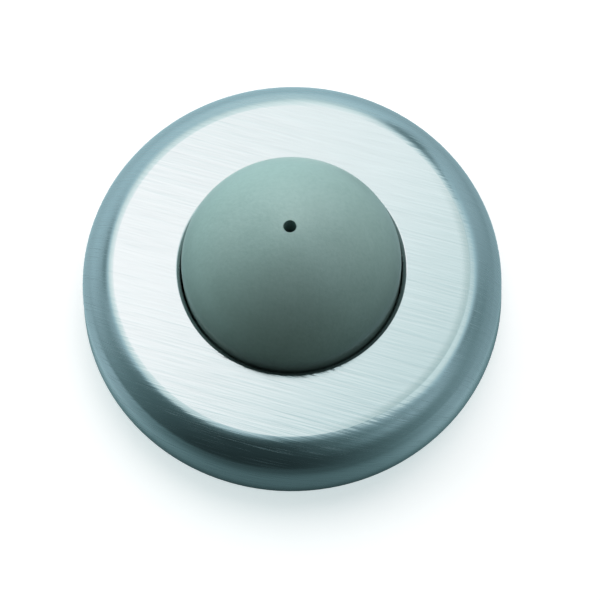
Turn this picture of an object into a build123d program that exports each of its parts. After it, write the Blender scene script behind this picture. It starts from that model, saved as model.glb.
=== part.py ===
"""Wall door stop: a stamped rose, a rubber bumper in its pocket and the pressed cup that holds the bumper.

The stop stands on the wall's plane, z = 0, with its axis on Z and the bumper's crown at the top.
Each piece is turned about that axis. The section of a sheet piece is a bent line with an even thickness.
"""
import os

from build123d import *

os.makedirs("parts", exist_ok=True)

# Rose, a stamped sheet
rose_diameter = 63.5
rose_sheet = 0.6
face_height = 9.8
shoulder_radius = 5.0
skirt_flare = 0.55
opening_diameter = 33.05
lip_radius = 0.65
pocket_bend_radius = 1.2
pocket_hole_diameter = 25.0

# Bumper, a rubber moulding
projection = 25.4
neck_gap = 0.25
heel_gap = 0.05
heel_height = 3.0
heel_edge_radius = 0.8
crown_extra_radius = 0.5
dome_shoulder_radius = 8.0
bumper_wall = 6.0
ledge_thickness = 3.1
groove_gap = 0.2
crown_hole_diameter = 1.9

# Retainer cup, a pressed sheet
cup_sheet = 0.9
cup_gap = 0.15
cup_bend_radius = 1.5
cup_flange_width = 3.4
screw_hole_diameter = 5.2

# Radii and heights that the pieces share
rose_radius = rose_diameter / 2
opening_radius = opening_diameter / 2
neck_radius = opening_radius - neck_gap
heel_radius = opening_radius - heel_gap
hollow_radius = neck_radius - bumper_wall
cup_radius = hollow_radius - cup_gap
cup_flange_radius = cup_radius + cup_flange_width
pocket_floor = rose_sheet
ledge_height = pocket_floor + ledge_thickness
groove_roof = ledge_height + cup_sheet
crown_radius = neck_radius + crown_extra_radius
crown_centre = projection - crown_radius
crown_foot = crown_centre + (crown_radius**2 - neck_radius**2) ** 0.5

with BuildPart() as rose:
    # The middle of the sheet runs up the skirt, over the face and down the pocket to its floor ring
    half_sheet = rose_sheet / 2
    skirt_foot = rose_radius - half_sheet
    face_line = face_height - half_sheet
    pocket_line = opening_radius + half_sheet
    outer_bends = (shoulder_radius, lip_radius, pocket_bend_radius)
    with BuildSketch(Plane.XZ):
        with BuildLine():
            FilletPolyline(
                (skirt_foot + skirt_flare, -face_line),
                (skirt_foot - skirt_flare, face_line),
                (pocket_line, face_line),
                (pocket_line, half_sheet),
                (pocket_hole_diameter / 2, half_sheet),
                radius=[bend - half_sheet for bend in outer_bends],
            )
        trace(line_width=rose_sheet)
        # The flared skirt ends in a cut edge flat on the wall
        split(bisect_by=Plane.XZ, keep=Keep.BOTTOM)
    revolve(axis=Axis.Z)
rose.part.label = "rose"
export_step(rose.part, "parts/rose.step")

with BuildPart() as bumper:
    neck_foot = pocket_floor + heel_height
    cup_inner_bend = cup_bend_radius - cup_sheet
    groove_radius = cup_flange_radius + groove_gap
    with BuildSketch(Plane.XZ) as bumper_section:
        # A snug heel on the pocket's floor, a neck clear of the lip, then the dome's crown, part of a ball
        with BuildLine():
            Polyline(
                (0, projection),
                (0, pocket_floor),
                (heel_radius, pocket_floor),
                (heel_radius, neck_foot),
                (neck_radius, neck_foot + heel_radius - neck_radius),
                (neck_radius, crown_foot),
            )
            RadiusArc((neck_radius, crown_foot), (0, projection), -crown_radius)
        make_face()
        heel_corner = bumper_section.vertices().group_by(Axis.Y)[0].sort_by(Axis.X)[-1]
        fillet(heel_corner, radius=heel_edge_radius)
        # A wide round turns the neck into the crown
        crown_corner = bumper_section.vertices().sort_by_distance((neck_radius, crown_foot))[0]
        fillet(crown_corner, radius=dome_shoulder_radius)
        # A hollow for the screw follows the dome, and a groove in its wall takes the cup's flange
        with BuildLine():
            Polyline(
                (0, crown_centre + hollow_radius),
                (0, pocket_floor),
                (hollow_radius, pocket_floor),
                (hollow_radius, ledge_height - cup_inner_bend),
                (hollow_radius + cup_inner_bend, ledge_height),
                (groove_radius, ledge_height),
                (groove_radius, groove_roof),
                (hollow_radius, groove_roof),
                (hollow_radius, crown_centre),
            )
            CenterArc((0, crown_centre), hollow_radius, start_angle=0, arc_size=90)
        make_face(mode=Mode.SUBTRACT)
        # The crown hole leads into the hollow
        with Locations((0, projection)):
            Rectangle(crown_hole_diameter, 2 * neck_radius, mode=Mode.SUBTRACT)
    revolve(axis=Axis.Z)
bumper.part.label = "bumper"
export_step(bumper.part, "parts/bumper.step")

with BuildPart() as retainer_cup:
    # The middle of the sheet runs from the screw hole over the floor and up the wall to the flange
    half_sheet = cup_sheet / 2
    wall_line = cup_radius - half_sheet
    flange_line = groove_roof - half_sheet
    with BuildSketch(Plane.XZ):
        with BuildLine():
            FilletPolyline(
                (screw_hole_diameter / 2, half_sheet),
                (wall_line, half_sheet),
                (wall_line, flange_line),
                (cup_flange_radius, flange_line),
                radius=cup_bend_radius - half_sheet,
            )
        trace(line_width=cup_sheet)
    revolve(axis=Axis.Z)
retainer_cup.part.label = "retainer_cup"
export_step(retainer_cup.part, "parts/retainer_cup.step")
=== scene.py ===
"""Wall door stop on a white table: a satin steel rose, a grey rubber bumper and the plated cup inside it."""
import math

import bpy
import numpy as np
from mathutils import Matrix, Vector

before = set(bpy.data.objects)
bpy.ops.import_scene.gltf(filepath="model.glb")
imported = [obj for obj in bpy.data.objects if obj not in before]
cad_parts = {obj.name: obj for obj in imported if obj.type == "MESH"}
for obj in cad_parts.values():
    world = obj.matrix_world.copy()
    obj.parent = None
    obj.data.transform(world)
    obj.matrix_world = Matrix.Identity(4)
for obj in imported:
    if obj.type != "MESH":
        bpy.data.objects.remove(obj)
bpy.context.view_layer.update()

scene = bpy.context.scene
scene.view_settings.view_transform = "Standard"

# The rose: the height of its face, the edge of the flat part and the lay of its brushing
FACE_HEIGHT_MM = 9.8
FACE_RADIUS_MM = 26.3
BRUSH_ANGLE = math.radians(-18.0)

# The colours of the light and the rays by which a thing is seen
WHITE = (1.0, 1.0, 1.0)
COOL = (0.87, 1.0, 0.98)
SEEN_RAYS = ("Is Camera Ray", "Is Glossy Ray", "Is Transmission Ray")

# Patches of the tent's cloth: tilt and bearing in degrees, sharpness, and the light that each one adds,
# or takes away where it is negative
TENT_PATCHES = (
    (22.0, 200.0, 120.0, 0.41),  # the window's brightest part
    (63.5, 173.0, 3.0, 0.85),  # the far cloth
    (86.0, 245.0, 3.5, 0.57),  # the left cloth
    (100.0, 80.0, 2.2, 0.39),  # the right cloth
    (43.0, 56.0, 17.6, 0.36),  # a glow on the near right
    (20.0, 104.0, 30.0, 0.41),  # a glow to the right of the window
    (15.5, 136.0, 110.0, 0.24),  # the window's near right corner
    (39.0, 256.0, 100.0, 0.18),  # a glow to the left of the window
    (41.0, 230.0, 90.0, -0.34),  # a fold on the far left
    (32.0, 105.0, 70.0, -0.36),  # a fold on the right
    (62.0, 98.0, 60.0, -0.05),  # the same fold lower down
    (68.0, 153.0, 30.0, -0.12),  # the foot of the seam on the far right
    (4.0, 0.0, 130.0, -0.1),  # the cloth just nearer than the window
    (20.0, 330.0, 25.0, -0.06),  # the cloth on the near left
)


def direction(tilt, bearing):
    """The unit vector that many degrees off the zenith on a bearing: 0 near, 90 right, 180 far, 270 left."""
    tilt, bearing = math.radians(tilt), math.radians(bearing)
    return Vector((math.sin(tilt) * math.sin(bearing), -math.sin(tilt) * math.cos(bearing), math.cos(tilt)))


def rgba(colour):
    """A colour of three numbers made opaque. A link stays as it is."""
    return (*colour, 1.0) if isinstance(colour, tuple) else colour


class Value:
    """What a node gives out. An operator on it adds a Math node to its tree."""

    def __init__(self, tree, socket):
        self.tree = tree
        self.socket = socket

    def math(self, operation, *others):
        return self.tree.node("ShaderNodeMath", {"operation": operation}, dict(enumerate((self, *others))))

    def __add__(self, other):
        return self.math("ADD", other)

    def __sub__(self, other):
        return self.math("SUBTRACT", other)

    def __mul__(self, other):
        return self.math("MULTIPLY", other)

    def __truediv__(self, other):
        return self.math("DIVIDE", other)

    def __neg__(self):
        return self.math("MULTIPLY", -1.0)

    def __rsub__(self, other):
        return -self + other

    def __rtruediv__(self, other):
        return self.math("POWER", -1.0) * other

    __radd__ = __add__
    __rmul__ = __mul__

    def at_least(self, other):
        return self.math("MAXIMUM", other)

    def at_most(self, other):
        return self.math("MINIMUM", other)

    def step(self, low, high, first=0.0, last=1.0):
        """A smooth step from first to last as the value goes from low to high."""
        ends = {"Value": self, "From Min": low, "From Max": high, "To Min": first, "To Max": last}
        return self.tree.node("ShaderNodeMapRange", {"interpolation_type": "SMOOTHSTEP"}, ends)


class Tree:
    """The nodes of a material or of the world."""

    def __init__(self, owner):
        owner.use_nodes = True
        self.owner = owner
        self.nodes = owner.node_tree.nodes
        self.links = owner.node_tree.links
        self.nodes.clear()

    def node(self, kind, settings=None, inputs=None, output=0):
        """Adds a node: its settings first, then a value or link for each socket. Returns one output."""
        made = self.nodes.new(kind)
        for key, value in (settings or {}).items():
            setattr(made, key, value)
        for key, value in (inputs or {}).items():
            if isinstance(value, Value):
                self.links.new(value.socket, made.inputs[key])
            else:
                made.inputs[key].default_value = value
        return Value(self, made.outputs[output]) if made.outputs else None

    def split(self, vector):
        """The three numbers of a vector."""
        return [self.node("ShaderNodeSeparateXYZ", None, {0: vector}, output) for output in range(3)]

    def scaled(self, vector, factor):
        """A vector or colour times a number."""
        return self.node("ShaderNodeVectorMath", {"operation": "SCALE"}, {0: vector, "Scale": factor})

    def place(self):
        """The object's own coordinates in metres."""
        return self.node("ShaderNodeTexCoord", None, None, "Object")

    def place_mm(self):
        """The object's own coordinates in millimetres."""
        return self.scaled(self.place(), 1000.0)

    def noise(self, vector, scale, detail, roughness=0.5):
        """Smooth noise from 0 to 1 with that many cells in a unit."""
        inputs = {"Vector": vector, "Scale": scale, "Detail": detail, "Roughness": roughness}
        return self.node("ShaderNodeTexNoise", None, inputs)

    def blend(self, share, first, second):
        """A colour between two others."""
        inputs = {0: share, 6: rgba(first), 7: rgba(second)}
        return self.node("ShaderNodeMix", {"data_type": "RGBA"}, inputs, 2)

    def bump(self, height, distance):
        """The normal of a surface with that height, given as a share of a distance in metres."""
        return self.node("ShaderNodeBump", None, {"Height": height, "Distance": distance, "Strength": 1.0})

    def light_path(self, name):
        """What the Light Path node says of a ray under that name."""
        return self.node("ShaderNodeLightPath", None, None, name)

    def seen_rays(self):
        """1 for a ray from the camera, for one mirrored by a surface and for one that passed through it."""
        return [self.light_path(name) for name in SEEN_RAYS]

    def matt(self, colour):
        """A matt shader."""
        return self.node("ShaderNodeBsdfDiffuse", None, {"Color": rgba(colour)})

    def glow(self, colour):
        """A glowing shader."""
        return self.node("ShaderNodeEmission", None, {"Color": rgba(colour)})

    def mix(self, share, first, second):
        """A shader between two others."""
        return self.node("ShaderNodeMixShader", None, {0: share, 1: first, 2: second})

    def finish(self, inputs):
        """The shader of a piece of the object, with its sockets by name. Returns the material."""
        return self.shown(self.node("ShaderNodeBsdfPrincipled", None, inputs))

    def shown(self, shader):
        """Joins a shader to the output and returns the material or the world."""
        kind = "World" if isinstance(self.owner, bpy.types.World) else "Material"
        self.node("ShaderNodeOutput" + kind, None, {"Surface": shader})
        return self.owner


def from_axis(x, y):
    """The distance of a point from the stop's axis in millimetres, at least 1."""
    return (x * x + y * y).math("SQRT").at_least(1.0)


def towards(bearing, x, y, distance):
    """How far a point on the plane lies towards a bearing: the cosine of the angle between them."""
    to = direction(90.0, bearing)
    return (x * to.x + y * to.y) / distance


def satin_steel():
    """Straight brushing of the flat blank. A point's place on the blank is its bearing from the axis and its
    distance from it, lengthened by how far the sheet has come down from the face, so the lines run on over
    the shoulder and down the skirt. Noise stretched along the lines gives grain, scratches, long faint bands
    and dull hairs, which are stronger off the face. A painted shade darkens the colour along the face's
    right edge, where the face turns into the shoulder: a dark line at the edge that fades inward over about
    a millimetre, on the right-hand side only, where the light shows the crease."""
    tree = Tree(bpy.data.materials.new("satin_steel_brushed"))
    place = tree.place_mm()
    x, y, z = tree.split(place)
    radius = from_axis(x, y)
    stretch = (FACE_HEIGHT_MM - z).at_least(0.0) / radius + 1.0
    along = (x * math.cos(BRUSH_ANGLE) + y * math.sin(BRUSH_ANGLE)) * stretch
    across = (y * math.cos(BRUSH_ANGLE) - x * math.sin(BRUSH_ANGLE)) * stretch

    def lines(length, width, detail):
        """Noise in cells of that length and width in millimetres."""
        blank = tree.node("ShaderNodeCombineXYZ", None, {0: along / length, 1: across / width, 2: 0.0})
        return tree.noise(blank, 1.0, detail)

    grain = lines(5.0, 0.2, 1.0)
    scratches = lines(14.0, 0.42, 2.0)
    bands = lines(40.0, 1.1, 1.0)
    clouds = tree.noise(place, 0.09, 3.0)
    hairs = lines(9.0, 0.2, 2.0).step(0.5, 0.72)
    off_face = z.step(FACE_HEIGHT_MM - 0.05, FACE_HEIGHT_MM - 0.4)
    roughness = 0.12 + hairs * (off_face * 0.26 + 0.04) + grain * 0.04 + clouds * 0.02

    shade = (scratches - 0.5) * 0.5 + (bands - 0.5) * 0.25 + (grain - 0.5) * 0.55 + 0.5
    colour = tree.blend(shade, (0.515, 0.535, 0.545), (0.625, 0.645, 0.655))
    # Painted shade: the colour is darkened in a line along the face's right edge and fading inward, on the
    # right-hand side only, where the crease is shaded in this light
    from_edge = radius - FACE_RADIUS_MM
    upper_side = z.step(FACE_HEIGHT_MM - 0.2, FACE_HEIGHT_MM - 0.1)
    painted_crease_shade = from_edge.step(-1.2, 0.1) * from_edge.step(0.35, 0.1) * upper_side
    painted_crease_shade = painted_crease_shade * towards(65.0, x, y, radius).step(0.45, 0.85)
    colour = tree.blend(painted_crease_shade * 0.45, colour, (0.26, 0.325, 0.325))

    height = (grain - 0.5) * 0.2 + (scratches - 0.5) * 0.9 + (bands - 0.5) * 0.6
    relief = z.step(FACE_HEIGHT_MM - 0.15, FACE_HEIGHT_MM, 0.6, 1.0)
    normal = tree.bump(height * relief, 2.1e-5)
    return tree.finish({"Base Color": colour, "Metallic": 1.0, "Roughness": roughness, "Normal": normal})


def grey_rubber():
    """A fine moulded grain, faint mottling and a light bloom on the rubber."""
    tree = Tree(bpy.data.materials.new("grey_rubber_moulded"))
    place = tree.place_mm()
    grain = tree.noise(place, 1.5, 2.0, 0.6)
    mottle = tree.noise(place, 0.35, 3.0, 0.55)
    bloom = tree.noise(place, 0.12, 2.0)
    shade = (grain - 0.5) * 1.2 + (mottle - 0.5) * 0.5 + (bloom - 0.5) * 0.5 + 0.5
    colour = tree.blend(shade, (0.255, 0.38, 0.36), (0.32, 0.455, 0.435))
    roughness = 0.24 + mottle * 0.08 + grain * 0.05
    normal = tree.bump(grain * 0.7 + mottle * 0.3, 5.0e-5)
    looks = {"Base Color": colour, "Roughness": roughness, "Normal": normal, "Specular IOR Level": 0.5}
    return tree.finish(looks)


def plated_steel():
    """Zinc plating with small crystals and faint clouds."""
    tree = Tree(bpy.data.materials.new("plated_steel_zinc"))
    place = tree.place_mm()
    crystals = tree.noise(place, 1.6, 3.0, 0.6)
    clouds = tree.noise(place, 0.25, 2.0)
    colour = tree.blend(crystals * 0.6 + clouds * 0.4, (0.55, 0.58, 0.62), (0.70, 0.72, 0.74))
    roughness = 0.28 + crystals * 0.12 + clouds * 0.08
    normal = tree.bump(crystals, 6.0e-6)
    return tree.finish({"Base Color": colour, "Metallic": 1.0, "Roughness": roughness, "Normal": normal})


def cloth_light(x, y, z):
    """How bright the tent is in a direction. A soft window stands overhead on the far side, and a dark seam
    runs down from its far right corner. Round them the cloth glows on the far side, the left and the right,
    and falls to a dark gap on the near side, where the camera stands."""

    def patch(tilt, bearing, sharpness):
        """1 in one direction, less all round it."""
        to = direction(tilt, bearing)
        return ((x * to.x + y * to.y + z * to.z - 1.0) * sharpness).math("EXPONENT")

    # Degrees off the zenith, to the right and to the far side, and degrees past the window's slanted edges
    side = x.math("ARCSINE") * math.degrees(1.0)
    far = y.math("ARCTAN2", z) * math.degrees(1.0)
    past_near = far + side.step(3.0, -6.0) * 7.0 + (side - 3.0).at_least(0.0) * 0.7 - 2.5
    past_right = side - (far - 21.0) * 0.9
    window = past_near.step(6.7, 9.7) * past_near.step(60.0, 26.0) * side.step(-40.0, -9.6)
    light = window * (past_right.step(8.0, 1.0) * 0.39 + side.step(50.0, 5.0) * 0.48)
    for tilt, bearing, sharpness, level in TENT_PATCHES:
        light = light + patch(tilt, bearing, sharpness) * level

    # The seam, in degrees down its length and across it
    down_seam = far + side * 0.78
    across_seam = side * 1.2 - far * 0.48
    seam = down_seam.step(36.0, 47.0) * across_seam.step(-9.0, -5.0) * across_seam.step(8.0, 2.0)
    light = light - seam * (down_seam.step(85.0, 50.0) * 0.42 + down_seam.step(115.0, 55.0) * 0.26)
    near_gap = patch(80.0, 350.0, 5.0) * 0.3
    return light.at_least(0.06) * (1.0 - near_gap)


def cloth_glow(tree, light):
    """A shader that glows as the tent does, cooler where it is darker."""
    tint = tree.blend(light.step(0.05, 0.6), (0.53, 1.0, 1.06), (0.66, 1.0, 1.10))
    tint = tree.blend(light.step(0.75, 1.15), tint, (0.80, 1.0, 1.0))
    tint = tree.blend(light.step(1.2, 1.65), tint, WHITE)
    return tree.glow(tree.scaled(tint, light))


def white_table():
    """A matt table that keeps the shadow, with a glow that makes it white where it is seen. In the metal it
    shows a glow with painted shade instead: darker at the stop's foot, then a grey that is darker on the
    near side and on the right, then the light of the tent."""
    tree = Tree(bpy.data.materials.new("white_table"))
    x, y, _ = tree.split(tree.place_mm())
    distance = from_axis(x, y)
    camera, glossy, passed = tree.seen_rays()

    # Painted shade for what the metal mirrors: the glow's grey is darkened at the foot, on the near side and
    # on the right, and is not shaded by the lamps
    to_near = towards(354.0, x, y, distance)
    near_shade = to_near.step(0.4, 1.05)
    right_shade = towards(105.0, x, y, distance).step(0.3, 0.8)
    foot_shade = distance.step(31.7, 32.8, 0.45, 1.0)
    grey = 0.6 - near_shade * 0.43 - to_near.at_most(0.0) * 0.12
    grey = grey * (1.0 - near_shade * distance.step(33.0, 46.0) * 0.45)
    grey = grey * foot_shade * (1.0 - right_shade * 0.22)
    tent_share = distance.step(45.0, 110.0)
    light = grey * (1.0 - tent_share) + cloth_light(x / distance, y / distance, 0.0) * tent_share

    unseen = tree.matt((0.36, 0.44, 0.39))
    shadowed, bright = tree.matt((0.70, 0.60, 0.59)), tree.glow((0.54, 0.625, 0.638))
    seen = tree.node("ShaderNodeAddShader", None, {0: shadowed, 1: bright})
    mirrored = (glossy + passed).at_most(1.0)
    return tree.shown(tree.mix(mirrored, tree.mix(camera, unseen, seen), cloth_glow(tree, light)))


def tent_cloth():
    """What the metal mirrors. The tent has a radius of 1, so a point on it is a direction. Light that the
    metal throws on to a matt surface is left out."""
    tree = Tree(bpy.data.materials.new("tent_cloth"))
    light = cloth_light(*tree.split(tree.place()))
    after_matt = tree.light_path("Diffuse Depth").at_most(1.0)
    return tree.shown(tree.mix(after_matt, cloth_glow(tree, light), tree.glow((0.0, 0.0, 0.0))))


def surface(name, points, faces, material):
    """An object at the origin from an array of points and an array of faces."""
    mesh = bpy.data.meshes.new(name)
    mesh.from_pydata(points.tolist(), [], faces.tolist())
    mesh.materials.append(material)
    made = bpy.data.objects.new(name, mesh)
    scene.collection.objects.link(made)
    return made


def grid_faces(rows, columns):
    """The corners of each cell of a grid of points, row by row."""
    corner = np.arange(rows - 1)[:, None] * columns + np.arange(columns - 1)[None, :]
    return np.stack([corner, corner + 1, corner + columns + 1, corner + columns], -1).reshape(-1, 4)


def table_top(half_width=20.0, height=-2.0e-5):
    """A flat square at one height, a hair below the wall plane."""
    across, along = np.meshgrid([-half_width, half_width], [-half_width, half_width])
    points = np.stack([across, along, np.full_like(across, height)], -1).reshape(-1, 3)
    return surface("table_top", points, grid_faces(2, 2), white_table())


def light_tent(rows=49, columns=97):
    """A half ball of radius 1 over the table: each point is the direction of its tilt from the zenith and
    its bearing. The tilt starts a little off the zenith."""
    tilts = np.linspace(0.002, 0.5 * np.pi, rows)
    bearings = np.linspace(0.0, 2.0 * np.pi, columns)
    tilt, bearing = np.meshgrid(tilts, bearings, indexing="ij")
    points = np.stack([np.sin(tilt) * np.sin(bearing), -np.sin(tilt) * np.cos(bearing), np.cos(tilt)], -1)
    return surface("light_tent", points.reshape(-1, 3), grid_faces(rows, columns), tent_cloth())


def soft_sun(name, tilt, bearing, level, colour=WHITE):
    """A broad sun in one direction. The level is how bright a white face turned to it becomes."""
    lamp = bpy.data.lights.new(name, "SUN")
    lamp.energy = level * math.pi
    lamp.angle = math.radians(60.0)
    lamp.color = colour
    made = bpy.data.objects.new(name, lamp)
    made.rotation_mode = "QUATERNION"
    made.rotation_quaternion = direction(tilt, bearing).to_track_quat("Z", "Y")
    made.visible_glossy = False
    scene.collection.objects.link(made)


def photo_camera():
    """A long lens 385 mm from the middle of the back, 68.9 degrees above the wall plane, turned a little."""
    elevation, roll = math.radians(68.9), math.radians(1.81)
    distance, aim_right, aim_down = 0.385, 0.001156, 0.001394
    side = Vector((1.0, 0.0, 0.0))
    upward = Vector((0.0, math.sin(elevation), math.cos(elevation)))
    back = Vector((0.0, -math.cos(elevation), math.sin(elevation)))
    right = math.cos(roll) * side - math.sin(roll) * upward
    top = math.sin(roll) * side + math.cos(roll) * upward
    lens = bpy.data.cameras.new("photo_camera")
    lens.sensor_width = 36.0
    lens.lens = 151.9
    lens.clip_start = 0.01
    lens.clip_end = 100.0
    made = bpy.data.objects.new("photo_camera", lens)
    turn = Matrix((right, top, back)).transposed().to_4x4()
    made.matrix_world = Matrix.Translation(right * aim_right - top * aim_down + back * distance) @ turn
    scene.collection.objects.link(made)
    scene.camera = made


def white_surroundings():
    """White where it is seen, and a faint fill as light on the object."""
    tree = Tree(bpy.data.worlds.new("white_surroundings"))
    camera, glossy, passed = tree.seen_rays()
    strength = (camera + glossy + passed + 0.02).at_most(1.0)
    return tree.shown(tree.node("ShaderNodeBackground", None, {"Color": rgba(WHITE), "Strength": strength}))


for node, finish in (("rose", satin_steel()), ("bumper", grey_rubber()), ("retainer_cup", plated_steel())):
    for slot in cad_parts[node].material_slots:
        slot.material = finish

table = table_top()
tent = light_tent()
tent.visible_camera = False
tent.visible_diffuse = False
tent.visible_shadow = False

soft_sun("sun_far", 50.0, 170.0, 0.80)
soft_sun("sun_left", 70.0, 228.0, 0.36, COOL)
soft_sun("sun_low_left", 86.0, 245.0, 0.36, COOL)
soft_sun("sun_right", 50.0, 90.0, 0.13, COOL)
soft_sun("sun_top", 12.0, 190.0, 0.05)
soft_sun("sun_near", 85.0, 5.0, 0.035, COOL)
scene.world = white_surroundings()
photo_camera()
